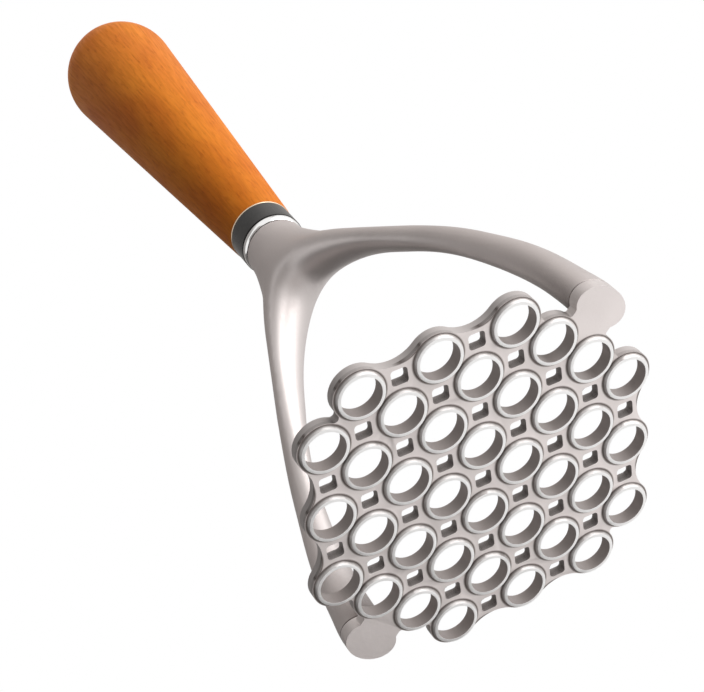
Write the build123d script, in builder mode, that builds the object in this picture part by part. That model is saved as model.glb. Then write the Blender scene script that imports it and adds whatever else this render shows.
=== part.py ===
from build123d import *
from math import asin, atan2, cos, hypot, sin, sqrt
import os

# Potato masher, standing on its plate.
# +Z runs up the handle, X across the plate, Y through the two arms.
# The origin is the middle of the face that the plate stands on. Millimetres.

# Mashing plate: rows of collared holes, with a slot in every gap between four of them
pitch_x = 11.4
pitch_y = 13.0
row_lengths = {-2.5: 4, -1.5: 6, -0.5: 8, 0.5: 8, 1.5: 6, 2.5: 4}
slot_row_lengths = {-2: 5, -1: 7, 0: 7, 1: 7, 2: 5}
hole_r = 4.45
rim_r = 5.15
collar_foot_r = 5.55
collar_height = 0.8
web_thickness = 2.4
lobe_r = 5.9
slot_width = 3.7
side_round_r = 0.9
corner_round_r = 8.0

# Lugs at the two ends of the plate, where the arms of the yoke stand
lug_y = 43.0
lug_half_width = 6.5
lug_half_depth = 4.6
lug_top_z = 3.6
neck_half_width = 5.2
neck_round_r = 0.6

# Yoke: the middle line of one arm, from its foot to the crown, and the size of the bar there
arm_stations = [
    # y, z, half width across, half thickness
    (lug_y, lug_top_z, lug_half_width, lug_half_depth),
    (42.6, 10.0, 5.9, 4.25),
    (41.8, 17.8, 5.2, 4.0),
    (39.6, 29.3, 4.2, 3.75),
    (36.8, 39.2, 3.5, 3.4),
    (33.6, 48.8, 3.2, 3.15),
    (29.3, 58.7, 3.4, 2.95),
    (23.4, 69.8, 4.4, 2.9),
    (14.9, 83.4, 6.2, 3.6),
    (0.0, 95.0, 8.1, 5.5),
]
arch_steps = 48
hub_sections = [
    # z, half width across, half width along the arms
    (108.8, 8.0, 8.0),
    (105.5, 8.0, 8.5),
    (101.0, 8.0, 9.9),
    (97.0, 7.9, 11.7),
    (94.0, 7.3, 12.9),
    (91.5, 4.9, 13.7),
]
hub_top_z = hub_sections[0][0]

# Rings between the hub and the handle
bright_ring_top_z = 112.0
bright_ring_low_r = 7.9
bright_ring_r = 8.4
bright_ring_bevel_z = 1.6
collar_top_z = 118.4
collar_r = 8.4
collar_bevel = 0.25
ring_bore_r = 3.2

# Handle: turned wood, a long cone that ends in a dome
handle_low_r = 8.6
dome_r = 16.4
dome_centre_z = 227.0
handle_bevel = 0.4

# Hidden fixings: a threaded rod from the hub into an insert in the wood, and a pin in each foot
rod_r = 3.0
rod_low_z = 94.0
rod_top_z = 136.0
rod_bevel = 0.6
insert_r = 4.5
insert_low_z = 119.0
insert_top_z = 135.0
handle_bore_r = 3.3
handle_bore_top_z = 139.0
pin_r = 1.5
pin_low_z = 1.9
pin_top_z = 10.4
end_clearance = 0.1

web_back_z = collar_height + web_thickness


def row_points(lengths):
    """Points of rows that are centred on x = 0, from the lowest y up."""
    points = []
    for row, count in lengths.items():
        for index in range(count):
            points.append(((index - (count - 1) / 2) * pitch_x, row * pitch_y))
    return points


def border_points(holes):
    """Centres of the outermost holes, once round the plate against the clock."""
    ends = [((count - 1) / 2 * pitch_x, row * pitch_y) for row, count in row_lengths.items()]
    near_row = [point for point in holes if point[1] == ends[0][1]]
    far_row = [point for point in reversed(holes) if point[1] == ends[-1][1]]
    left_ends = [(-x, y) for x, y in reversed(ends[1:-1])]
    return near_row + ends[1:-1] + far_row + left_ends


def touching_centre(first, second, radius):
    """Centre of the round that touches two neighbouring lobes from outside the plate."""
    (ax, ay), (bx, by) = first, second
    span = hypot(bx - ax, by - ay)
    reach = sqrt((lobe_r + radius) ** 2 - (span / 2) ** 2)
    return (ax + bx) / 2 + (by - ay) / span * reach, (ay + by) / 2 - (bx - ax) / span * reach


hole_points = row_points(row_lengths)
slot_points = row_points(slot_row_lengths)
border = border_points(hole_points)
lug_points = [(0, lug_y), (0, -lug_y)]
lug_corner_y = max(row_lengths) * pitch_y + lobe_r / 2

# Webs: the metal between neighbouring lobes, hollowed by a round that touches both
with BuildSketch() as webs:
    for first, second in zip(border, border[1:] + border[:1]):
        in_line = first[0] == second[0] or first[1] == second[1]
        radius = side_round_r if in_line else corner_round_r
        centre = touching_centre(first, second, radius)
        with BuildSketch(mode=Mode.PRIVATE) as web:
            with BuildLine():
                Polyline(first, second, centre, close=True)
            make_face()
            with Locations(centre):
                Circle(radius, mode=Mode.SUBTRACT)
        add(web.sketch)

# One collar, to be repeated at every hole point
with BuildPart() as collar:
    with BuildSketch(Plane.XZ):
        with BuildLine():
            Polyline((0, 0), (rim_r, 0), (collar_foot_r, collar_height), (0, collar_height), close=True)
        make_face()
    revolve(axis=Axis.Z)

# Mashing plate: lobed outline with a lug at each end, then the collars, holes and slots
with BuildPart() as masher_plate:
    with BuildSketch(Plane.XY.offset(collar_height)) as outline:
        with BuildLine():
            Polyline(*border, close=True)
        make_face()
        with Locations(*border):
            Circle(lobe_r)
        add(webs.sketch)
        Rectangle(2 * neck_half_width, 2 * lug_y)
        with Locations(*lug_points):
            Ellipse(lug_half_width, lug_half_depth)
        lug_corners = outline.vertices().filter_by(
            lambda vertex: abs(vertex.X) < lug_half_width and abs(vertex.Y) > lug_corner_y)
        fillet(lug_corners, neck_round_r)
    extrude(amount=web_thickness)
    with BuildSketch(Plane.XY.offset(web_back_z)):
        with Locations(*lug_points):
            Ellipse(lug_half_width, lug_half_depth)
    extrude(amount=lug_top_z - web_back_z)
    with Locations(*hole_points):
        add(collar.part)
    with Locations(*hole_points):
        Hole(hole_r)
    with BuildSketch(Plane.XY.offset(collar_height)):
        with Locations(*slot_points):
            Rectangle(slot_width, slot_width, rotation=45)
    extrude(amount=web_thickness, mode=Mode.SUBTRACT)
    with Locations(*[(x, y, lug_top_z) for x, y in lug_points]):
        Hole(pin_r, lug_top_z - pin_low_z + end_clearance)
masher_plate.part.label = "masher_plate"

# Middle line of the arch, upright at both feet
arm_points = [(y, z) for y, z, width, depth in arm_stations]
far_arm_points = [(-y, z) for y, z in reversed(arm_points[:-1])]
with BuildLine(Plane.YZ) as arch_line:
    Spline(*arm_points, *far_arm_points, tangents=((0, 1), (0, -1)))
arch_path = arch_line.edges()[0]
station_shares = [arch_path.param_at_point(Vector(0, y, z)) for y, z in arm_points]


def bar_size(share):
    """Half width and half thickness of the bar, at a share of the arch's length from either foot."""
    share = min(share, 1 - share)
    above = next(index for index in range(1, len(station_shares))
                 if share <= station_shares[index] or index == len(station_shares) - 1)
    low, high = station_shares[above - 1], station_shares[above]
    blend = (share - low) / (high - low)
    sizes = zip(arm_stations[above - 1][2:], arm_stations[above][2:])
    return [low_size + blend * (high_size - low_size) for low_size, high_size in sizes]


# Yoke: one cast arch from foot to foot, and the hub that rises from its crown
with BuildPart() as yoke:
    for step in range(arch_steps + 1):
        share = step / arch_steps
        with BuildSketch(Plane(origin=arch_path @ share, x_dir=(1, 0, 0), z_dir=arch_path % share)):
            Ellipse(*bar_size(share))
    loft(ruled=True)
    for z, width, depth in reversed(hub_sections):
        with BuildSketch(Plane(origin=(0, 0, z), x_dir=(0, 1, 0), z_dir=(0, 0, 1))):
            Ellipse(depth, width)
    loft(ruled=True)
    with Locations((0, 0, hub_top_z)):
        Hole(rod_r, hub_top_z - rod_low_z + end_clearance)
    for y in (lug_y, -lug_y):
        with Locations(Plane(origin=(0, y, lug_top_z), z_dir=(0, 0, -1))):
            Hole(pin_r, pin_top_z - lug_top_z + end_clearance)
yoke.part.label = "yoke"

# Bright ring: bevelled towards the hub
with BuildPart() as bright_ring:
    with BuildSketch(Plane.XZ):
        with BuildLine():
            Polyline((ring_bore_r, hub_top_z), (bright_ring_low_r, hub_top_z),
                     (bright_ring_r, hub_top_z + bright_ring_bevel_z),
                     (bright_ring_r, bright_ring_top_z), (ring_bore_r, bright_ring_top_z), close=True)
        make_face()
    revolve(axis=Axis.Z)
bright_ring.part.label = "bright_ring"

# Dark collar: a short sleeve with its outer edges broken
with BuildPart() as dark_collar:
    with BuildSketch(Plane.XY.offset(bright_ring_top_z)):
        Circle(collar_r)
    extrude(amount=collar_top_z - bright_ring_top_z)
    chamfer(dark_collar.edges().filter_by(GeomType.CIRCLE), collar_bevel)
    with Locations((0, 0, collar_top_z)):
        Hole(ring_bore_r)
dark_collar.part.label = "dark_collar"

# Handle: the cone leans outwards by the angle at which it meets the dome without a corner
cone_rise = dome_centre_z - collar_top_z
cone_lean = asin(dome_r / hypot(handle_low_r, cone_rise)) - atan2(handle_low_r, cone_rise)
dome_low_point = (dome_r * cos(cone_lean), dome_centre_z - dome_r * sin(cone_lean))
with BuildPart() as handle:
    with BuildSketch(Plane.XZ):
        with BuildLine():
            flank = Line((handle_low_r, collar_top_z), dome_low_point)
            dome = TangentArc(dome_low_point, (0, dome_centre_z + dome_r), tangent=flank % 1)
            Polyline(dome @ 1, (0, collar_top_z), flank @ 0)
        make_face()
        chamfer(vertices().group_by(Axis.X)[1], handle_bevel)
    revolve(axis=Axis.Z)
    with Locations(Plane(origin=(0, 0, collar_top_z), z_dir=(0, 0, -1))):
        Hole(handle_bore_r, handle_bore_top_z - collar_top_z)
        Hole(insert_r, insert_top_z - collar_top_z + end_clearance)
handle.part.label = "handle"

# Threaded rod, its thread drawn as a plain bar
with BuildPart() as threaded_rod:
    with BuildSketch(Plane.XY.offset(rod_low_z)):
        Circle(rod_r)
    extrude(amount=rod_top_z - rod_low_z)
    chamfer(threaded_rod.edges().filter_by(GeomType.CIRCLE), rod_bevel)
threaded_rod.part.label = "threaded_rod"

# Threaded insert, pressed into the wood
with BuildPart() as threaded_insert:
    with BuildSketch(Plane.XY.offset(insert_low_z)):
        Circle(insert_r)
        Circle(rod_r, mode=Mode.SUBTRACT)
    extrude(amount=insert_top_z - insert_low_z)
threaded_insert.part.label = "threaded_insert"

# Two pins that hold the feet of the yoke on the lugs
with BuildPart() as foot_pins:
    with BuildSketch(Plane.XY.offset(pin_low_z)):
        with Locations(*lug_points):
            Circle(pin_r)
    extrude(amount=pin_top_z - pin_low_z)
foot_pins.part.label = "foot_pins"

os.makedirs("parts", exist_ok=True)
for piece in (masher_plate, yoke, bright_ring, dark_collar, handle, threaded_rod, threaded_insert,
              foot_pins):
    export_step(piece.part, f"parts/{piece.part.label}.step")
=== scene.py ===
# %% [markdown]
# # A potato masher, dressed for the camera
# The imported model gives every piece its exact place. This lesson dresses those pieces with real
# finishes: cast metal, a polished ring, a dark collar and turned wood. We load the model first,
# because everything else is measured from it.

from math import asin, atan2, cos, pi, radians, sin

import bmesh
import bpy
from mathutils import Matrix, Vector


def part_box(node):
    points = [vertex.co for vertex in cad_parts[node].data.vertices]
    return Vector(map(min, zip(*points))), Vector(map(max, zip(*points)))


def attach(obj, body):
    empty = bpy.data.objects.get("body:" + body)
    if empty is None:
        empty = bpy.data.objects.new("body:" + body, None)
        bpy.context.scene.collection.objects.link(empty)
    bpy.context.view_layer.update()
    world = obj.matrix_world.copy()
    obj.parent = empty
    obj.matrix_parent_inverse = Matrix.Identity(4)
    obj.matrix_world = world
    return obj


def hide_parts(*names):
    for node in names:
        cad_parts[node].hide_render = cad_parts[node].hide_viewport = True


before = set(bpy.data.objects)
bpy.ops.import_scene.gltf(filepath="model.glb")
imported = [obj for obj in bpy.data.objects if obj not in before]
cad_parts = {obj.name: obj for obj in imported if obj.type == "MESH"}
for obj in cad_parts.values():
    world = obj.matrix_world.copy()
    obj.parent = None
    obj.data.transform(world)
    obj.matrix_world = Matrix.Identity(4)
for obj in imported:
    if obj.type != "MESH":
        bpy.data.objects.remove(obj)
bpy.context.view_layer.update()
MM = 0.001
print("nodes:", sorted(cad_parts))

# %% [markdown]
# ## Small helpers
# Each new piece goes through the same last steps: its mesh becomes an object, gets its finish,
# rides with the body and stands for the solid that it dresses. A helper keeps those steps alike.

# %% Turn a bmesh into a finished piece
SHARP_ANGLE = radians(38)


def placed_object(name, shape):
    """Makes an object of a bmesh and puts it in the scene."""
    mesh = bpy.data.meshes.new(name)
    shape.to_mesh(mesh)
    shape.free()
    made = bpy.data.objects.new(name, mesh)
    bpy.context.scene.collection.objects.link(made)
    return made


def finish_piece(name, shape, finish, node=None):
    """Makes a piece of a bmesh, with its finish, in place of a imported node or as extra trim."""
    bmesh.ops.recalc_face_normals(shape, faces=shape.faces)
    piece = placed_object(name, shape)
    mesh = piece.data
    mesh.materials.append(finish)
    mesh.shade_smooth()
    mesh.set_sharp_from_angle(angle=SHARP_ANGLE)
    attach(piece, "root")
    if node:
        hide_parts(node)
    print(f"{name}: {len(mesh.polygons)} faces")
    return piece


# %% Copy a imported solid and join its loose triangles
MERGE_GAP = 0.002 * MM


def joined_copy(node):
    """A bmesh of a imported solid, with its triangles joined to one closed skin."""
    shape = bmesh.new()
    shape.from_mesh(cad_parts[node].data)
    bmesh.ops.remove_doubles(shape, verts=shape.verts, dist=MERGE_GAP)
    return shape


# %% Spin a profile round the handle's axis
SPIN_STEPS = 96


def drawn_line(shape, points):
    """Adds a line through points, each a radius and a z in metres, and gives back its corners."""
    corners = [shape.verts.new((radius, 0, z)) for radius, z in points]
    for pair in zip(corners, corners[1:]):
        shape.edges.new(pair)
    return corners


def spin_round(shape):
    """Turns all that a bmesh holds round the handle's axis, and joins the ends."""
    bmesh.ops.spin(shape, geom=shape.verts[:] + shape.edges[:], axis=(0, 0, 1), cent=(0, 0, 0),
                   angle=2 * pi, steps=SPIN_STEPS, use_merge=True)
    bmesh.ops.remove_doubles(shape, verts=shape.verts, dist=MERGE_GAP)


def spun(profile):
    """A bmesh of a profile that is turned round the handle's axis."""
    shape = bmesh.new()
    drawn_line(shape, profile)
    spin_round(shape)
    return shape


# %% [markdown]
# ## Finishes
# A finish is a small tree of nodes. All patterns read Object coordinates, in metres, so a grain
# keeps its real size and stays where it is when the camera moves.

# %% A short way to add and join nodes
WHITE = (1, 1, 1)


class Finish:
    """A material with its tree of nodes, and short calls to add to it."""

    def __init__(self, name):
        self.material = bpy.data.materials.new(name)
        self.material.use_nodes = True
        self.tree = self.material.node_tree
        self.shader = self.tree.nodes["Principled BSDF"]
        self.coordinates = self.node("ShaderNodeTexCoord")
        self.place = self.coordinates.outputs["Object"]

    def node(self, kind, settings=None, **inputs):
        """Adds a node. Settings are its properties, inputs its sockets, with _ for a space."""
        made = self.tree.nodes.new(kind)
        for key, value in (settings or {}).items():
            setattr(made, key, value)
        for key, value in inputs.items():
            self.feed(made.inputs[key.replace("_", " ")], value)
        return made

    def feed(self, socket, value):
        """Sets a socket to a value, or joins it to another node's output."""
        if isinstance(value, bpy.types.NodeSocket):
            self.tree.links.new(value, socket)
        else:
            socket.default_value = value

    def surface(self, **inputs):
        """Sets or joins the shader's own sockets by name, with _ for a space."""
        for key, value in inputs.items():
            self.feed(self.shader.inputs[key.replace("_", " ")], value)

    def noise(self, scale, detail=3.0, stretch=(1, 1, 1)):
        """Noise with so many features to a metre, squeezed along each axis by stretch."""
        place = self.node("ShaderNodeMapping", Vector=self.place, Scale=stretch).outputs["Vector"]
        made = self.node("ShaderNodeTexNoise", Vector=place, Scale=scale, Detail=detail)
        return made.outputs["Fac"]

    def openness(self, reach):
        """How open a place is: 1 in the open, less where other faces stand within reach."""
        made = self.node("ShaderNodeAmbientOcclusion", {"samples": 8}, Distance=reach)
        return made.outputs["AO"]

    def ramp(self, value, *stops):
        """Colours along a value. Each stop is a position and a colour."""
        made = self.node("ShaderNodeValToRGB", Fac=value)
        band = made.color_ramp
        while len(band.elements) < len(stops):
            band.elements.new(0.5)
        for element, (position, colour) in zip(band.elements, stops):
            element.position = position
            element.color = (*colour, 1)
        return made.outputs["Color"]

    def spread(self, value, low, high, start=0.3, end=0.7):
        """A value moved from the range start..end to low..high."""
        made = self.node("ShaderNodeMapRange", Value=value)
        for key, number in zip(("From Min", "From Max", "To Min", "To Max"),
                               (start, end, low, high)):
            made.inputs[key].default_value = number
        return made.outputs["Result"]

    def beyond(self, value, start, fade):
        """0 up to a start, then up to 1 over a fade."""
        return self.spread(value, 0.0, 1.0, start, start + fade)

    def within(self, value, end, fade):
        """1 up to an end, then down to 0 over a fade."""
        return self.spread(value, 1.0, 0.0, end, end + fade)

    def sum(self, operation, *values):
        """The result of a sum on one or two values."""
        made = self.node("ShaderNodeMath", {"operation": operation})
        for socket, value in zip(made.inputs, values):
            self.feed(socket, value)
        return made.outputs["Value"]

    def mix(self, share, first, second, blend="MIX"):
        """Two colours mixed."""
        made = self.node("ShaderNodeMix", {"data_type": "RGBA", "blend_type": blend})
        self.feed(made.inputs[0], share)
        self.feed(made.inputs[6], first)
        self.feed(made.inputs[7], second)
        return made.outputs[2]

    def shaded(self, colour, shade):
        """A colour multiplied by a shade."""
        return self.mix(1.0, colour, shade, "MULTIPLY")

    def bump(self, height, depth):
        """A bump of that depth in metres, fed to the shader."""
        made = self.node("ShaderNodeBump", Height=height, Distance=depth, Strength=1.0)
        self.surface(Normal=made.outputs["Normal"])


# %% [markdown]
# ### Satin cast metal
# The plate and the yoke are castings with a tumbled, satin skin. Such a skin has a fine grain
# under a millimetre across, and its tone drifts slowly. A painted picture could hold all this, but
# noise that is measured in metres needs no picture and has no seams. An ambient occlusion node
# paints shade into the inner corners, darkening them a little. A second one reaches further and
# paints shade on the arms' feet, where they stand close to the plate.

# %% Satin cast metal
GRAIN_PER_M = 1400
GRAIN_DEPTH = 0.012 * MM
DRIFT_PER_M = 45
DRIFT_TONES = (0.93, 0.855, 0.83), (1.07, 0.985, 0.96)
# Painted shade in the inner corners: how far it reaches and its darkest tone.
CORNER_SHADE_REACH = 1.6 * MM
CORNER_SHADE_TONE = (0.2, 0.17, 0.16)
CAST_METALLIC = 0.85
YOKE_LIGHTNESS = 0.6
# Painted shade on the arms' feet near the plate: its reach, its tone and the height where it fades.
FOOT_SHADE_REACH = 22 * MM
FOOT_SHADE_TONE = (0.2, 0.175, 0.165)
FOOT_SHADE_Z = 12 * MM


def skin_tone_and_corner_shade(finish, lightness):
    """The tone of the cast skin, with painted shade in its inner corners, as a colour socket."""
    drift = finish.noise(DRIFT_PER_M, 2.0)
    darker, lighter = (tuple(lightness * part for part in tone) for tone in DRIFT_TONES)
    skin = finish.ramp(drift, (0.3, darker), (0.7, lighter))
    # Painted shade: inner corners go darker where other faces stand close.
    corners = finish.ramp(finish.openness(CORNER_SHADE_REACH), (0.25, CORNER_SHADE_TONE), (0.8, WHITE))
    return finish.shaded(skin, corners)


def satin_grain(finish, smooth, rough):
    """Gives the finish its fine grain, in roughness and in bump."""
    grain = finish.noise(GRAIN_PER_M, 2.0)
    finish.surface(Roughness=finish.spread(grain, smooth, rough))
    finish.bump(grain, GRAIN_DEPTH)


def yoke_metal():
    """The cast skin as it is on the yoke, with painted shade at the arms' feet."""
    finish = Finish("satin_cast_metal")
    height = finish.node("ShaderNodeSeparateXYZ", Vector=finish.place).outputs["Z"]
    above_feet = finish.beyond(height, FOOT_SHADE_Z, FOOT_SHADE_Z)
    # Painted shade: the arms darken where the plate stands close, fading out higher up.
    lit = finish.sum("MAXIMUM", finish.openness(FOOT_SHADE_REACH), above_feet)
    feet = finish.ramp(lit, (0.6, FOOT_SHADE_TONE), (1.0, WHITE))
    finish.surface(Base_Color=finish.shaded(skin_tone_and_corner_shade(finish, YOKE_LIGHTNESS), feet),
                   Metallic=CAST_METALLIC)
    satin_grain(finish, 0.4, 0.5)
    return finish.material


# %% [markdown]
# ### The plate's painted highlights and painted shade
# The plate has the same skin. Its collars' rims and its bevelled edges get a painted highlight.
# Its walls get painted shade, darkest in the holes and the slots, and are less metallic, and a
# line of painted shade runs round the foot of each collar. Three things tell the finish where it
# is: the height, because only the rims stand at z 0, the way that the surface faces, and how far
# off the nearest hole's middle lies, which the remainder after dividing by the pitch gives. The
# lugs have no holes, so there that distance is set to a whole pitch.

# %% Where the parts of the plate are
PITCH_X, PITCH_Y = 11.4 * MM, 13.0 * MM
HOLE_EDGE, HOLE_FADE = 4.7 * MM, 0.2 * MM
COLLAR_EDGE, COLLAR_FADE = 5.8 * MM, 0.1 * MM
# Where the line of painted shade round each collar's foot lies, and its half width.
FOOT_LINE, FOOT_LINE_HALF = 5.62 * MM, 0.36 * MM
RIM_TOP, RIM_FADE = 0.4 * MM, 0.2 * MM
WEB_BACK, WEB_FADE = 1.6 * MM, 0.1 * MM
LUG_START, LUG_FADE = 38.2 * MM, 0.8 * MM
# How far the painted shade in the slots reaches.
SLOT_SHADE_REACH = 5 * MM
EDGE_LEVEL = 0.7


def off_middle(finish, place, pitch):
    """How far a place lies from the nearest middle of a lattice, along one axis."""
    return finish.sum("SUBTRACT", finish.sum("FLOORED_MODULO", place, pitch), pitch / 2)


def off_hole(finish, place, lug):
    """How far a place lies from the nearest hole's middle. On a lug it is a whole pitch."""
    squares = [finish.sum("POWER", off_middle(finish, place.outputs[axis], pitch), 2.0)
               for axis, pitch in (("X", PITCH_X), ("Y", PITCH_Y))]
    distance = finish.sum("SQRT", finish.sum("ADD", *squares))
    return finish.sum("MAXIMUM", distance, finish.sum("MULTIPLY", lug, PITCH_X))


# %% Plate metal
PLATE_LIGHTNESS = 0.86
# Painted highlight on the rims.
RIM_HIGHLIGHT_TONE = (0.97, 0.955, 0.945, 1)
# Painted shade on the walls of the holes, the sides and the lugs.
HOLE_WALL_SHADE_TONE = (0.4, 0.352, 0.335, 1)
SIDE_WALL_SHADE_TONE = (0.56, 0.515, 0.5, 1)
LUG_WALL_SHADE_TONE = (0.66, 0.61, 0.595, 1)
# Painted shade deep in the slots.
SLOT_SHADE_TONE = (0.13, 0.11, 0.105)
# Painted shade line at the collars' feet.
FOOT_LINE_SHADE_TONE = (0.13, 0.105, 0.095, 1)
WALL_METALLIC = 0.25
# Strength of the painted highlight on bevelled edges.
EDGE_HIGHLIGHT = 0.8


def plate_metal():
    """The cast skin, with painted highlights on rims and edges, and painted shade on walls and
    round the collars.
    """
    finish = Finish("satin_plate_metal")
    place = finish.node("ShaderNodeSeparateXYZ", Vector=finish.place)
    facing = finish.node("ShaderNodeSeparateXYZ", Vector=finish.coordinates.outputs["Normal"])
    level = finish.sum("ABSOLUTE", facing.outputs["Z"])
    lug = finish.beyond(finish.sum("ABSOLUTE", place.outputs["Y"]), LUG_START, LUG_FADE)
    from_hole = off_hole(finish, place, lug)

    # Painted shade on the walls: darkest in the holes and the slots, less on the sides and lugs.
    in_hole = finish.within(from_hole, HOLE_EDGE, HOLE_FADE)
    painted_slot_shade = finish.ramp(finish.openness(SLOT_SHADE_REACH), (0.4, SLOT_SHADE_TONE), (0.75, WHITE))
    wall_shade_tone = finish.shaded(finish.mix(in_hole, SIDE_WALL_SHADE_TONE, HOLE_WALL_SHADE_TONE), painted_slot_shade)
    wall_shade_tone = finish.mix(lug, wall_shade_tone, LUG_WALL_SHADE_TONE)
    wall = finish.spread(level, 1.0, 0.0, 0.5, 0.85)
    darkened_tone = finish.mix(wall, skin_tone_and_corner_shade(finish, PLATE_LIGHTNESS), wall_shade_tone)

    # A line of painted shade round the foot of each collar, on the front face only.
    front = finish.within(place.outputs["Z"], WEB_BACK, WEB_FADE)
    off_line = finish.sum("ABSOLUTE", finish.sum("SUBTRACT", from_hole, FOOT_LINE))
    foot_line_shade = finish.sum("MULTIPLY", front, finish.within(off_line, 0.0, FOOT_LINE_HALF))
    foot_shaded = finish.mix(foot_line_shade, darkened_tone, FOOT_LINE_SHADE_TONE)

    # Painted highlight on the rims and on the bevelled edges outside the collars.
    low = finish.within(place.outputs["Z"], RIM_TOP, RIM_FADE)
    rim_highlight = finish.sum("MULTIPLY", low, finish.spread(level, 0.0, 1.0, 0.45, EDGE_LEVEL))
    off_edge = finish.sum("ABSOLUTE", finish.sum("SUBTRACT", level, EDGE_LEVEL))
    edge = finish.sum("MULTIPLY", finish.spread(off_edge, EDGE_HIGHLIGHT, 0.0, 0.12, 0.26),
                      finish.beyond(from_hole, COLLAR_EDGE, COLLAR_FADE))
    painted_highlight = finish.sum("MAXIMUM", rim_highlight, edge)
    dull_wall = finish.sum("MULTIPLY", wall, finish.within(lug, 0.0, 1.0))
    metallic = finish.spread(dull_wall, CAST_METALLIC, WALL_METALLIC, 0.0, 1.0)
    finish.surface(Base_Color=finish.mix(painted_highlight, foot_shaded, RIM_HIGHLIGHT_TONE), Metallic=metallic)
    satin_grain(finish, 0.36, 0.46)
    return finish.material


cast_metal, cast_plate_metal = yoke_metal(), plate_metal()
print("finishes:", cast_metal.name, cast_plate_metal.name)

# %% [markdown]
# ### Polished metal and dark gloss
# The ring between hub and handle is plated, so it is almost a mirror, with a faint turning pattern.
# The collar next to it is a dark moulding. Its lower edge lies in a tight shadow, so its tone goes
# to black there.

# %% Polished metal of the bright ring
def polished_metal():
    """Bright plated metal with a faint turning pattern."""
    finish = Finish("polished_metal")
    turning = finish.noise(2500, 2.0, (0.05, 0.05, 1))
    finish.surface(Base_Color=(0.9, 0.89, 0.88, 1), Metallic=1.0,
                   Roughness=finish.spread(turning, 0.1, 0.2))
    return finish.material


# %% Dark gloss of the collar
SHADOW_LINE_Z, SHADOW_FADE = 111.15 * MM, 0.3 * MM
SHADOW_TONE = (0.002, 0.002, 0.002, 1)


def dark_gloss():
    """Near-black moulding, glossy with a little haze."""
    finish = Finish("dark_gloss")
    haze = finish.noise(120, 3.0)
    colour = finish.ramp(haze, (0.3, (0.035, 0.036, 0.036)), (0.7, (0.06, 0.06, 0.058)))
    height = finish.node("ShaderNodeSeparateXYZ", Vector=finish.place).outputs["Z"]
    upper = finish.beyond(height, SHADOW_LINE_Z, SHADOW_FADE)
    finish.surface(Base_Color=finish.mix(upper, SHADOW_TONE, colour), IOR=1.5,
                   Specular_IOR_Level=finish.spread(upper, 0.1, 0.5, 0.0, 1.0),
                   Roughness=finish.spread(haze, 0.16, 0.26))
    return finish.material


# %% [markdown]
# ### Turned wood
# The handle is a close-grained wood, stained orange and lacquered to a satin. Close up, it has
# short dark flecks along its length, fine fibres and a soft mottle. Each is a noise of its own
# size, stretched along the handle and multiplied into the one before.

# %% Turned wood
FIBRE_DEPTH = 0.01 * MM


def turned_wood():
    """Orange wood with its fibres along the handle, under a satin lacquer."""
    finish = Finish("turned_wood")
    fibre = finish.noise(1500, 4.0, (1, 1, 0.05))
    fleck = finish.noise(1300, 2.0, (1, 1, 0.2))
    mottle = finish.noise(75, 4.0, (1, 1, 0.4))
    tone = finish.ramp(mottle, (0.3, (0.74, 0.175, 0.012)), (0.7, (0.98, 0.31, 0.024)))
    fibres = finish.ramp(fibre, (0.3, (0.84, 0.78, 0.7)), (0.62, WHITE))
    flecks = finish.ramp(fleck, (0.28, (0.86, 0.77, 0.68)), (0.44, WHITE))
    finish.surface(Base_Color=finish.shaded(finish.shaded(tone, fibres), flecks),
                   Roughness=finish.spread(fibre, 0.55, 0.45), Specular_IOR_Level=0.2)
    finish.bump(fibre, FIBRE_DEPTH)
    return finish.material


# %% [markdown]
# ### Plain metals
# The thin lip on the collar is a bare metal, and so are the fixings inside the handle and the
# feet. Those show from no side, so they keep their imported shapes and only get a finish.

# %% Plain metals of the lip and the hidden fixings
PLAIN_GRAIN_PER_M = 600
PLAIN_DULLNESS = 0.85


def plain_metal(name, colour):
    """A bare metal with a faint grain."""
    finish = Finish(name)
    grain = finish.noise(PLAIN_GRAIN_PER_M, 2.0)
    darkened_tone = tuple(PLAIN_DULLNESS * part for part in colour)
    finish.surface(Base_Color=finish.ramp(grain, (0.3, darkened_tone), (0.7, colour)), Metallic=1.0,
                   Roughness=finish.spread(grain, 0.3, 0.45))
    return finish.material


bright_metal, dark_moulding, wood = polished_metal(), dark_gloss(), turned_wood()
lip_metal = plain_metal("lip_metal", (0.8, 0.66, 0.5))
steel = plain_metal("steel", (0.56, 0.56, 0.57))
brass = plain_metal("brass", (0.72, 0.52, 0.22))
for node, finish in {"threaded_rod": steel, "foot_pins": steel, "threaded_insert": brass}.items():
    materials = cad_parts[node].data.materials
    materials.clear()
    materials.append(finish)
print("finishes:", [material.name for material in bpy.data.materials])

# %% [markdown]
# ## The mashing plate
# The solid has the right holes and outline, but its edges are dead sharp, and a sharp edge catches
# no light. We copy it and make its flat faces whole. Then the upright edges in the slots' corners
# get a round of their own, and a Bevel modifier rounds every other edge.

# %% Find the upright corner edges
SHORTEST_WALL = 1 * MM
SQUARE = radians(90)
NEAR_SQUARE = radians(20)


def stands_in_a_corner(edge):
    """True for a long upright edge between two walls that meet nearly square."""
    bottom, top = sorted((vert.co for vert in edge.verts), key=lambda place: place.z)
    rise = top - bottom
    upright = rise.z > SHORTEST_WALL and rise.xy.length < 0.01 * rise.z
    return upright and edge.is_manifold and abs(edge.calc_face_angle() - SQUARE) < NEAR_SQUARE


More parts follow.
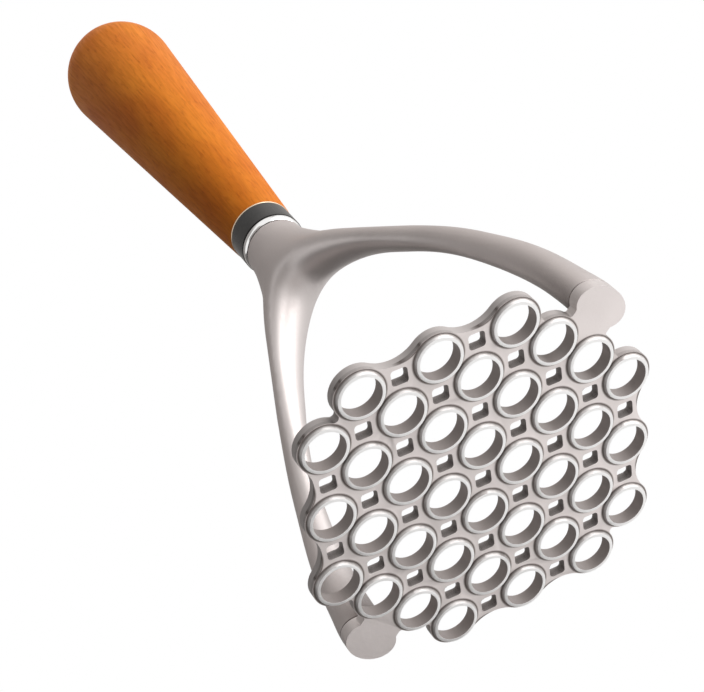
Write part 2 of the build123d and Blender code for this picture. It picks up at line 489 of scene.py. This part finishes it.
# %% Plate with rounded edges
SLOT_CORNER = 0.75 * MM
PLATE_ROUND = 0.2 * MM
FLAT = radians(0.5)
ROUNDED_ANGLE = radians(30)
plate_shape = joined_copy("masher_plate")
bmesh.ops.dissolve_limit(plate_shape, angle_limit=FLAT, verts=plate_shape.verts,
                         edges=plate_shape.edges)
corners = [edge for edge in plate_shape.edges if stands_in_a_corner(edge)]
print("slot corners:", len(corners))
bmesh.ops.bevel(plate_shape, geom=corners, offset=SLOT_CORNER, offset_type="OFFSET", segments=4,
                profile=0.5, affect="EDGES", material=-1)
plate = finish_piece("plate_casting", plate_shape, cast_plate_metal,
                     "masher_plate")
rounding = plate.modifiers.new("edge_round", "BEVEL")
rounding.limit_method = "ANGLE"
rounding.angle_limit = ROUNDED_ANGLE
rounding.width = PLATE_ROUND
rounding.segments = 3
rounding.harden_normals = True

# %% [markdown]
# ## The yoke
# On the real masher the two arms and the hub are one casting. A caster's pattern maker would carve
# the arms from stations, sizes given every centimetre or so, and blend them by eye. We do the same:
# a smooth line runs through the stations, oval rings stand on it, and bridges join ring to ring.

# %% Run a smooth line through stations
LINE_STEPS = 10
RELAXING_ROUNDS = 40


def headings_through(places, spans):
    """The direction of a line at each of its places, so that its bend never jumps."""
    steps = [(after - before) / span for before, after, span in zip(places, places[1:], spans)]
    middle = [(low + high) / 2 for low, high in zip(steps, steps[1:])]
    headings = [steps[0]] + middle + [steps[-1]]
    for _ in range(RELAXING_ROUNDS):
        for index in range(1, len(places) - 1):
            low, high = spans[index - 1], spans[index]
            pull = 3 * (high * steps[index - 1] + low * steps[index])
            others = high * headings[index - 1] + low * headings[index + 1]
            headings[index] = (pull - others) / (2 * (low + high))
    return headings


def smooth_line(stations):
    """Points of a line that bends evenly through stations, each of three millimetre values."""
    places = [Vector(station) for station in stations]
    spans = [(after - before).length for before, after in zip(places, places[1:])]
    curve = bpy.data.curves.new("line", "CURVE")
    curve.dimensions = "3D"
    curve.resolution_u = LINE_STEPS
    spline = curve.splines.new("BEZIER")
    spline.bezier_points.add(len(places) - 1)
    for point, place, heading, low, high in zip(spline.bezier_points, places,
                                                headings_through(places, spans),
                                                spans[:1] + spans, spans + spans[-1:]):
        point.handle_left_type = point.handle_right_type = "FREE"
        point.co = place
        point.handle_left = place - heading * low / 3
        point.handle_right = place + heading * high / 3
    helper = bpy.data.objects.new("line", curve)
    bpy.context.scene.collection.objects.link(helper)
    mesh = bpy.data.meshes.new_from_object(helper)
    points = [vert.co * MM for vert in mesh.vertices]
    bpy.data.objects.remove(helper)
    return points


# %% Stand rings on a line and bridge them
RING_STEPS = 56
ACROSS = Vector((1, 0, 0))


def add_bar(shape, line, sizes):
    """Adds a closed bar to a bmesh, its oval rings square on the line. Sizes are half widths."""
    rings = []
    for index, (here, size) in enumerate(zip(line, sizes)):
        before, after = line[max(index - 1, 0)], line[min(index + 1, len(line) - 1)]
        along = (after - before).normalized()
        turn = Matrix((ACROSS, along.cross(ACROSS), along)).transposed().to_4x4()
        place = Matrix.Translation(here) @ turn @ Matrix.Diagonal((size.x, size.y, 1, 1))
        made = bmesh.ops.create_circle(shape, segments=RING_STEPS, radius=1, matrix=place,
                                       cap_ends=index in (0, len(line) - 1))
        rings.append({edge for vert in made["verts"] for edge in vert.link_edges})
    for ring, following in zip(rings, rings[1:]):
        bmesh.ops.bridge_loops(shape, edges=list(ring | following))


# %% Arch and hub from their stations
ARM_STATIONS = [
    # y, z, half width across, half thickness, in millimetres
    (43.0, 1.0, 6.5, 4.6),
    (43.0, 3.6, 6.5, 4.6),
    (42.6, 10.0, 5.9, 4.25),
    (41.8, 17.8, 5.2, 4.0),
    (39.6, 29.3, 4.2, 3.75),
    (36.8, 39.2, 3.5, 3.4),
    (33.6, 48.8, 3.2, 3.15),
    (29.3, 58.7, 3.4, 2.95),
    (23.4, 69.8, 4.4, 2.9),
    (14.9, 83.4, 6.2, 3.6),
    (0.0, 95.0, 8.1, 5.5),
]
HUB_STATIONS = [
    # z, half width across, half width along the arms, in millimetres
    (112.0, 8.0, 8.0),
    (108.8, 8.0, 8.05),
    (105.5, 8.0, 8.55),
    (101.0, 8.0, 9.95),
    (97.0, 7.9, 11.6),
    (94.0, 7.3, 13.0),
    (91.5, 5.2, 14.4),
]
SPACING = 10


def smooth_sizes(sizes):
    """The half widths between stations. Even spacing keeps their line from turning back."""
    return smooth_line([(width, depth, SPACING * index)
                        for index, (width, depth) in enumerate(sizes)])


arch = [(-y, z, width, depth) for y, z, width, depth in ARM_STATIONS] + ARM_STATIONS[-2::-1]
yoke_shape = bmesh.new()
add_bar(yoke_shape, smooth_line([(0, y, z) for y, z, width, depth in arch]),
        smooth_sizes([(width, depth) for y, z, width, depth in arch]))
add_bar(yoke_shape, smooth_line([(0, 0, z) for z, width, depth in HUB_STATIONS]),
        smooth_sizes([(width, depth) for z, width, depth in HUB_STATIONS]))
print("yoke before blending:", len(yoke_shape.faces), "faces")

# %% [markdown]
# A voxel remesh turns arch and hub into one even skin of small squares. Smoothing then melts the
# crease between them. Plain smoothing also shrinks a shape, so each round of it that covers the
# whole yoke is followed by one that grows it back, and the rounds at the crown fade out down the
# arms.

# %% Yoke with a flowing skin
VOXEL = 0.45 * MM
ALL_OVER_ROUNDS = 16
CROWN_ROUNDS = 110
CROWN_LOW_Z = 66 * MM
CROWN_HIGH_Z = 108 * MM
CROWN_FADE = 0.16 * MM
CROWN_TOP_FADE = 0.2 * CROWN_FADE


def remeshed(shape, voxel):
    """The same form as an even skin of small squares."""
    helper = placed_object("skin", shape)
    remesh = helper.modifiers.new("skin", "REMESH")
    remesh.mode = "VOXEL"
    remesh.voxel_size = voxel
    skin = bmesh.new()
    skin.from_object(helper, bpy.context.evaluated_depsgraph_get())
    mesh = helper.data
    bpy.data.objects.remove(helper)
    bpy.data.meshes.remove(mesh)
    return skin


def smooth(verts, factors):
    """One round of smoothing for each factor. A negative one grows the shape back."""
    for factor in factors:
        bmesh.ops.smooth_vert(yoke_shape, verts=verts, factor=factor, use_axis_x=True,
                              use_axis_y=True, use_axis_z=True)


bmesh.ops.recalc_face_normals(yoke_shape, faces=yoke_shape.faces)
yoke_shape = remeshed(yoke_shape, VOXEL)
for _ in range(ALL_OVER_ROUNDS):
    smooth(yoke_shape.verts, (0.5, -0.5))
for round_number in range(CROWN_ROUNDS):
    low_z = CROWN_LOW_Z + CROWN_FADE * round_number
    high_z = CROWN_HIGH_Z - CROWN_TOP_FADE * round_number
    smooth([vert for vert in yoke_shape.verts if low_z < vert.co.z < high_z], (0.5, 0.5, -0.5))
print("yoke after blending:", len(yoke_shape.faces), "faces")

# %% Flat ends with their edges broken
BROKEN_EDGE = 0.3 * MM
FOOT_SHARE = (6.2 / 6.5, 4.3 / 4.6, 1)
HUB_SHARE = (7.7 / 8.0, 7.7 / 8.0, 1)
END_REACH = 12 * MM


def flat_end(height, outwards, centres, share):
    """Cuts the yoke off square at a height, and closes each cut with a flat end in a bevel."""
    everything = yoke_shape.verts[:] + yoke_shape.edges[:] + yoke_shape.faces[:]
    cut = bmesh.ops.bisect_plane(yoke_shape, geom=everything, plane_no=(0, 0, outwards),
                                 plane_co=(0, 0, height - outwards * BROKEN_EDGE),
                                 clear_outer=True)
    loop = [part for part in cut["geom_cut"] if isinstance(part, bmesh.types.BMEdge)]
    made = bmesh.ops.extrude_edge_only(yoke_shape, edges=loop)["geom"]
    verts = [part for part in made if isinstance(part, bmesh.types.BMVert)]
    bmesh.ops.translate(yoke_shape, verts=verts, vec=(0, 0, outwards * BROKEN_EDGE))
    for centre in centres:
        near = [vert for vert in verts if (vert.co.xy - Vector((0, centre))).length < END_REACH]
        bmesh.ops.scale(yoke_shape, verts=near, vec=share,
                        space=Matrix.Translation((0, -centre, 0)))
    edges = [part for part in made if isinstance(part, bmesh.types.BMEdge)
             and all(vert in verts for vert in part.verts)]
    bmesh.ops.holes_fill(yoke_shape, edges=edges, sides=0)


low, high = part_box("yoke")
foot_y = ARM_STATIONS[0][0] * MM
flat_end(low.z, -1, (-foot_y, foot_y), FOOT_SHARE)
flat_end(high.z, 1, (0,), HUB_SHARE)
print("open edges:", sum(not edge.is_manifold for edge in yoke_shape.edges))
finish_piece("yoke_casting", yoke_shape, cast_metal, "yoke")

# %% [markdown]
# ## The rings
# Both rings are turned round the handle's axis, so each is half a section spun round it. The
# bright one stands on a small recess, which keeps a dark line between it and the hub. The dark
# one laps over the bright one with a thin skirt, so that no gap shows between them. A thin
# polished lip closes the dark one against the wood.

# %% Bright ring
low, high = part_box("bright_ring")
RING_BORE = 3.2 * MM
RECESS_DEPTH = 1.0 * MM
RECESS_HEIGHT = 0.6 * MM
SKIRT_HEIGHT = 1.2 * MM
SKIRT_THICKNESS = 0.3 * MM
BEAD_ROUND = 0.15 * MM
BEAD_INSETS = [inset * MM for inset in (0.6, 0.42, 0.22, 0.08)]
skirt_low, skirt_inner = high.z - SKIRT_HEIGHT, high.x - SKIRT_THICKNESS
recess_radius = high.x - RECESS_DEPTH
bead_low = low.z + RECESS_HEIGHT
bead_heights = [bead_low, bead_low + BEAD_ROUND, (bead_low + skirt_low) / 2, skirt_low]
bead = [(high.x - inset, z) for inset, z in zip(BEAD_INSETS, bead_heights)]
ring_shape = spun([(RING_BORE, low.z), (recess_radius, low.z), (recess_radius, bead_low), *bead,
                   (skirt_inner, skirt_low), (skirt_inner, high.z), (RING_BORE, high.z),
                   (RING_BORE, low.z)])
finish_piece("bright_ring_turned", ring_shape, bright_metal, "bright_ring")

# %% Dark collar
low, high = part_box("dark_collar")
LIP_HEIGHT = 0.24 * MM
LIP_SEAT = 0.25 * MM
LIP_REACH = 0.1 * MM
lip_low, lip_inner = high.z - LIP_HEIGHT, high.x - LIP_SEAT
collar_shape = spun([(RING_BORE, low.z), (skirt_inner, low.z), (skirt_inner, skirt_low),
                     (high.x, skirt_low), (high.x, lip_low), (lip_inner, lip_low),
                     (lip_inner, high.z), (RING_BORE, high.z), (RING_BORE, low.z)])
finish_piece("collar_moulding", collar_shape, dark_moulding, "dark_collar")
lip_shape = spun([(lip_inner, lip_low), (high.x, lip_low), (high.x + LIP_REACH, high.z),
                  (lip_inner, high.z), (lip_inner, lip_low)])
finish_piece("collar_lip", lip_shape, lip_metal)

# %% [markdown]
# ## The handle
# A lathe turns the handle: a long cone that runs without a break into a round end. We set out the
# cone as a line that just touches the circle of the round end, turn that circle's arc with one
# spin, and turn the whole section round the axis with another.

# %% Handle
low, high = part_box("handle")
START_RADIUS = 8.6 * MM
END_RADIUS = high.x
END_CENTRE = high.z - END_RADIUS
LOWER_ROUND = 0.5 * MM
INSERT_BORE, INSERT_TOP = 4.5 * MM, 135.1 * MM
ROD_BORE, ROD_TOP = 3.3 * MM, 139 * MM
ARC_STEPS = 28
reach = Vector((-START_RADIUS, END_CENTRE - low.z))
lean = asin(END_RADIUS / reach.length) - atan2(START_RADIUS, reach.y)
touch_radius = END_RADIUS * cos(lean)
touch_z = END_CENTRE - END_RADIUS * sin(lean)
bore = [(0, ROD_TOP), (ROD_BORE, ROD_TOP), (ROD_BORE, INSERT_TOP), (INSERT_BORE, INSERT_TOP)]
lower_edge = [(INSERT_BORE, low.z), (START_RADIUS - LOWER_ROUND, low.z),
              (START_RADIUS - 0.3 * LOWER_ROUND, low.z + 0.3 * LOWER_ROUND),
              (START_RADIUS + LOWER_ROUND * sin(lean), low.z + LOWER_ROUND)]
handle_shape = bmesh.new()
corners = drawn_line(handle_shape, [*bore, *lower_edge, (touch_radius, touch_z)])
bmesh.ops.spin(handle_shape, geom=corners[-1:], axis=(0, -1, 0), cent=(0, 0, END_CENTRE),
               angle=radians(90) + lean, steps=ARC_STEPS)
spin_round(handle_shape)
finish_piece("turned_handle", handle_shape, wood, "handle")

# %% [markdown]
# ## Floor, light and camera
# The floor is seen only from above and throws nothing back at the object, so the picture from
# below the plate looks straight through it. The floor lies a hair under the rims: two faces in one
# plane would flicker into each other.

# %% Floor
FLOOR_SIZE = 6
FLOOR_GAP = 0.05 * MM
FLOOR_TONE = (0.86, 0.86, 0.86, 1)
FLOOR_ROUGHNESS = 0.9
FLOOR_GLOW = 0.28
floor_shape = bmesh.new()
bmesh.ops.create_grid(floor_shape, x_segments=1, y_segments=1, size=FLOOR_SIZE / 2,
                      matrix=Matrix.Translation((0, 0, -FLOOR_GAP)))
floor = placed_object("floor", floor_shape)
paint = Finish("floor_paint")
paint.surface(Base_Color=FLOOR_TONE, Roughness=FLOOR_ROUGHNESS, Emission_Color=(*WHITE, 1),
              Emission_Strength=FLOOR_GLOW)
back = paint.node("ShaderNodeNewGeometry").outputs["Backfacing"]
clear = paint.node("ShaderNodeBsdfTransparent").outputs["BSDF"]
one_sided = paint.node("ShaderNodeMixShader", Fac=back)
paint.feed(one_sided.inputs[1], paint.shader.outputs["BSDF"])
paint.feed(one_sided.inputs[2], clear)
paint.feed(paint.tree.nodes["Material Output"].inputs["Surface"], one_sided.outputs["Shader"])
floor.data.materials.append(paint.material)
floor.visible_diffuse = False
floor.visible_glossy = False
floor.visible_transmission = False
floor.visible_shadow = False
print("floor:", FLOOR_SIZE, "m square,", FLOOR_GAP / MM, "mm under the rims")

# %% [markdown]
# The world is white where the camera or a reflection sees it, so the backdrop is white and the
# metal looks bright. Everywhere else it gives only a faint fill, because a world that lit the
# masher from all sides would wash its shadows out.

# %% World
FILL_LEVEL = 0.15
world = bpy.data.worlds.new("studio")
bpy.context.scene.world = world
world.use_nodes = True
sky = world.node_tree
path = sky.nodes.new("ShaderNodeLightPath")
seen = path.outputs["Is Camera Ray"]
for way in ("Is Glossy Ray", "Is Transmission Ray"):
    either = sky.nodes.new("ShaderNodeMath")
    either.operation = "MAXIMUM"
    sky.links.new(seen, either.inputs[0])
    sky.links.new(path.outputs[way], either.inputs[1])
    seen = either.outputs["Value"]
level = sky.nodes.new("ShaderNodeMapRange")
level.inputs["To Min"].default_value = FILL_LEVEL
level.inputs["To Max"].default_value = 1.0
sky.links.new(seen, level.inputs["Value"])
background = sky.nodes["Background"]
background.inputs["Color"].default_value = (*WHITE, 1)
sky.links.new(level.outputs["Result"], background.inputs["Strength"])
print("world:", world.name, "with a fill of", FILL_LEVEL)

# %% [markdown]
# One large soft lamp stands beside the masher, and one above lights the floor and the wood. The
# upper one is kept out of reflections, because a grey card hangs there for the metal to mirror.

# %% Lamps
MIDDLE = Vector((0, 0, 0.11))
LAMP_DISTANCE = 0.9


def softbox(name, direction, size, power):
    """A square area lamp beside the object's middle in a direction, and aimed at it."""
    light = bpy.data.lights.new(name, "AREA")
    light.size = size
    light.energy = power
    lamp = bpy.data.objects.new(name, light)
    lamp.location = MIDDLE + Vector(direction).normalized() * LAMP_DISTANCE
    lamp.rotation_euler = Vector(direction).to_track_quat("Z", "Y").to_euler()
    lamp.visible_camera = False
    bpy.context.scene.collection.objects.link(lamp)
    print(f"{name} lamp: {size} m square, {power} W")
    return lamp


softbox("key", (0.08, -0.95, -0.2), 1.0, 10.0)
softbox("top", (0, 0, 1), 1.2, 5.5).visible_glossy = False

# %% [markdown]
# Metal shows what is round it, so a real studio hangs grey cards near it. Here one above, one
# beside and one in front give the yoke its darker sides. They show in reflections only, so they
# throw no shade on the floor.

# %% Grey cards
def grey_card(name, direction, distance, size, grey):
    """A square card that far from the object's middle, which shows in reflections only."""
    paper = Finish(name + "_paper")
    paper.surface(Base_Color=(grey, 0.95 * grey, 0.92 * grey, 1), Roughness=1.0)
    direction = Vector(direction).normalized()
    shape = bmesh.new()
    bmesh.ops.create_grid(shape, x_segments=1, y_segments=1, size=size / 2)
    turned = direction.to_track_quat("Z", "Y").to_matrix().to_4x4()
    shape.transform(Matrix.Translation(MIDDLE + direction * distance) @ turned)
    card = placed_object(name, shape)
    card.data.materials.append(paper.material)
    card.visible_camera = card.visible_diffuse = card.visible_shadow = False
    print(f"{name}: {size} m square, grey {grey}")


grey_card("top_card", (-0.1, 0.15, 1.0), 0.5, 1.7, 0.95)
grey_card("side_card", (0.3, 0.9, -0.25), 0.6, 1.15, 0.2)
grey_card("front_card", (-0.8, 0.0, -0.45), 0.6, 0.6, 0.6)

# %% [markdown]
# The camera looks up at the plate from below, as if the masher hung in the air, and it is rolled
# so that the handle leans to the upper left. A long lens keeps the plate's rows nearly parallel.

# %% Camera
CAMERA_PLACE = Vector((-0.25306, -0.08755, -0.25669))
CAMERA_AIM = Vector((-0.0005, 0.0021, 0.0608))
CAMERA_ROLL = radians(41.54)
SENSOR_WIDTH = 36
LENS = 91.45
NEAREST_SEEN = 0.01
camera_data = bpy.data.cameras.new("camera")
camera_data.sensor_width = SENSOR_WIDTH
camera_data.lens = LENS
camera_data.clip_start = NEAREST_SEEN
camera = bpy.data.objects.new("camera", camera_data)
aim = (CAMERA_AIM - CAMERA_PLACE).to_track_quat("-Z", "Y").to_matrix().to_4x4()
roll = Matrix.Rotation(-CAMERA_ROLL, 4, "Z")
camera.matrix_world = Matrix.Translation(CAMERA_PLACE) @ aim @ roll
bpy.context.scene.collection.objects.link(camera)
bpy.context.scene.camera = camera
bpy.context.scene.view_settings.view_transform = "Standard"
print("camera distance:", round((CAMERA_AIM - CAMERA_PLACE).length, 3), "m")
